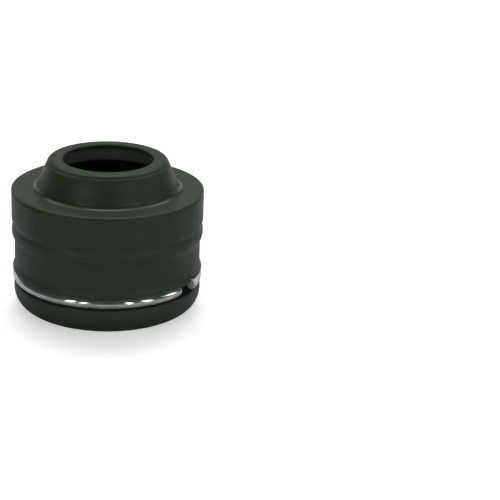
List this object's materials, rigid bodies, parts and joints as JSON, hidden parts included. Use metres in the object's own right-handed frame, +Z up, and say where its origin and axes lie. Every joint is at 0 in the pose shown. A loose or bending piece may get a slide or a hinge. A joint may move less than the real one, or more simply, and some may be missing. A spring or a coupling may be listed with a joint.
{
  "type": "oil seal",
  "caption": "Moulded rubber valve stem oil seal with a tapered lip neck, flat shoulder, shallow side grooves and a split spring-wire ring clamped round its foot.",
  "frame": {"origin": "centre of the flat foot of the seal, on its axis", "axes": "+Z up the seal's axis from the foot to the lip; -Y is the front, and the gap of the clamp ring is right of it, between -Y and +X"},
  "size_m": [0.018, 0.018, 0.0144],
  "materials": {
    "green_rubber": "matt to satin moulded fluoro-rubber, dark green",
    "spring_wire": "bright drawn spring wire"
  },
  "bodies": {
    "root": {"seal_body": "green_rubber", "clamp_ring": "spring_wire"}
  },
  "joints": []
}
